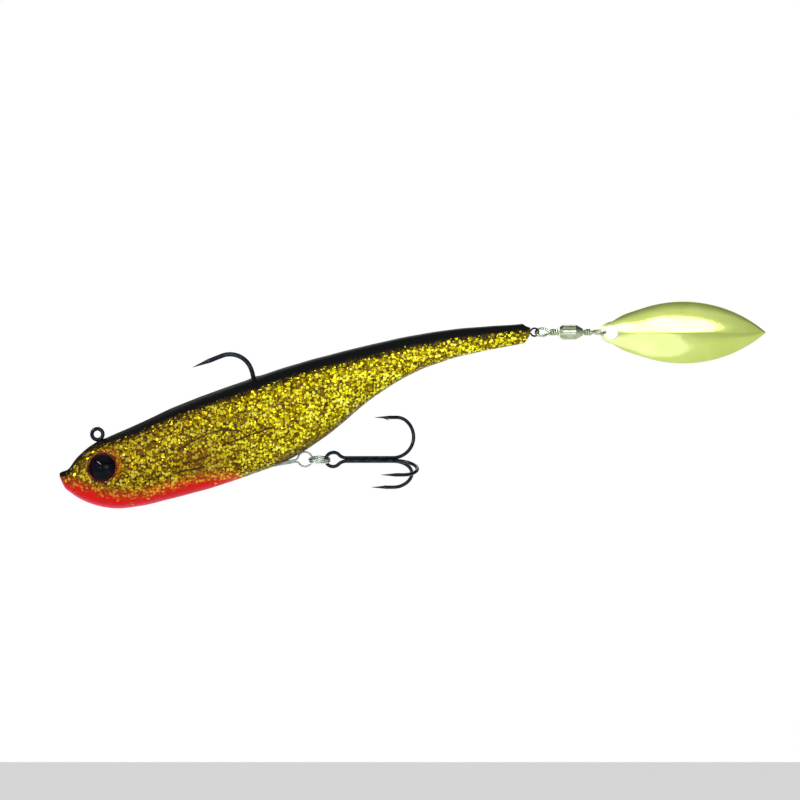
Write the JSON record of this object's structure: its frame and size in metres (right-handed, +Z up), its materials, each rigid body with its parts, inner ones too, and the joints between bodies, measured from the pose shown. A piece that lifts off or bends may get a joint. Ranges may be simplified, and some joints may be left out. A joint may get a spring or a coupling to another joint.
{
  "type": "tail spinner jig lure",
  "caption": "Soft fish-shaped lure on a weighted jig hook, with a treble hook on a belly loop and a willow blade turning on a swivel behind the tail.",
  "frame": {"origin": "centre of the line eye on top of the head", "axes": "+X from the head to the tail, +Z up, +Y along the line eye's hole, towards the fish's right flank"},
  "size_m": [0.22, 0.0246, 0.0644],
  "materials": {
    "glitter_plastic": "clear soft plastic filled with gold glitter, black back, red belly",
    "black_nickel": "glossy black nickel",
    "lead": "dull cast",
    "eye_foil": "dark maroon foil",
    "eye_lens": "glossy black dome",
    "stainless_wire": "bright wire",
    "coated_cable": "black coated strands",
    "black_wire": "glossy black wire",
    "swivel_nickel": "bright nickel",
    "gold_plate": "polished pale gold plate"
  },
  "bodies": {
    "lure_body": {"soft_body_front": "glitter_plastic", "jig_hook": "black_nickel", "head_weight": "lead", "eye_foil_left": "eye_foil", "eye_foil_right": "eye_foil", "eye_lens_left": "eye_lens", "eye_lens_right": "eye_lens", "belly_wire": "stainless_wire", "tail_cable": "coated_cable", "front_crimp_sleeve": "stainless_wire"},
    "tail": {"soft_body_tail": "glitter_plastic", "rear_crimp_sleeve": "stainless_wire", "tail_eye": "black_wire"},
    "split_ring": {"split_ring": "stainless_wire"},
    "treble": {"treble_double_hook": "black_nickel", "treble_single_hook": "black_nickel"},
    "swivel_front_eye": {"swivel_front_eye": "swivel_nickel"},
    "swivel_barrel": {"swivel_barrel": "swivel_nickel"},
    "swivel_rear_eye": {"swivel_rear_eye": "swivel_nickel"},
    "blade": {"willow_blade": "gold_plate"}
  },
  "joints": [
    {"name": "tail_flex", "type": "hinge", "parent": "lure_body", "child": "tail", "pos_m": [0.092, 0, 0.022], "axis": [0, 0, 1], "range_deg": [-30, 30], "stiffness_Nm_per_rad": 0.03, "deforming": ["tail_cable"]},
    {"name": "split_ring_swing", "type": "hinge", "parent": "lure_body", "child": "split_ring", "pos_m": [0.0647, 0, -0.0078], "axis": [0, 1, 0], "range_deg": [-8, 100]},
    {"name": "treble_swing", "type": "hinge", "parent": "split_ring", "child": "treble", "pos_m": [0.06915, 0, -0.008], "axis": [0, -0.2079, 0.9781], "range_deg": [-75, 75]},
    {"name": "swivel_pitch", "type": "hinge", "parent": "tail", "child": "swivel_front_eye", "pos_m": [0.1362, 0, 0.0318], "axis": [0, 1, 0], "range_deg": [-80, 80]},
    {"name": "barrel_spin", "type": "hinge", "parent": "swivel_front_eye", "child": "swivel_barrel", "pos_m": [0.1477, 0, 0.0318], "axis": [1, 0, 0], "continuous": true},
    {"name": "rear_eye_spin", "type": "hinge", "parent": "swivel_barrel", "child": "swivel_rear_eye", "pos_m": [0.1487, 0, 0.0318], "axis": [1, 0, 0], "continuous": true},
    {"name": "blade_flap", "type": "hinge", "parent": "swivel_rear_eye", "child": "blade", "pos_m": [0.1563, 0, 0.0318], "axis": [0, -0.2504, 0.9681], "range_deg": [-75, 75]}
  ]
}
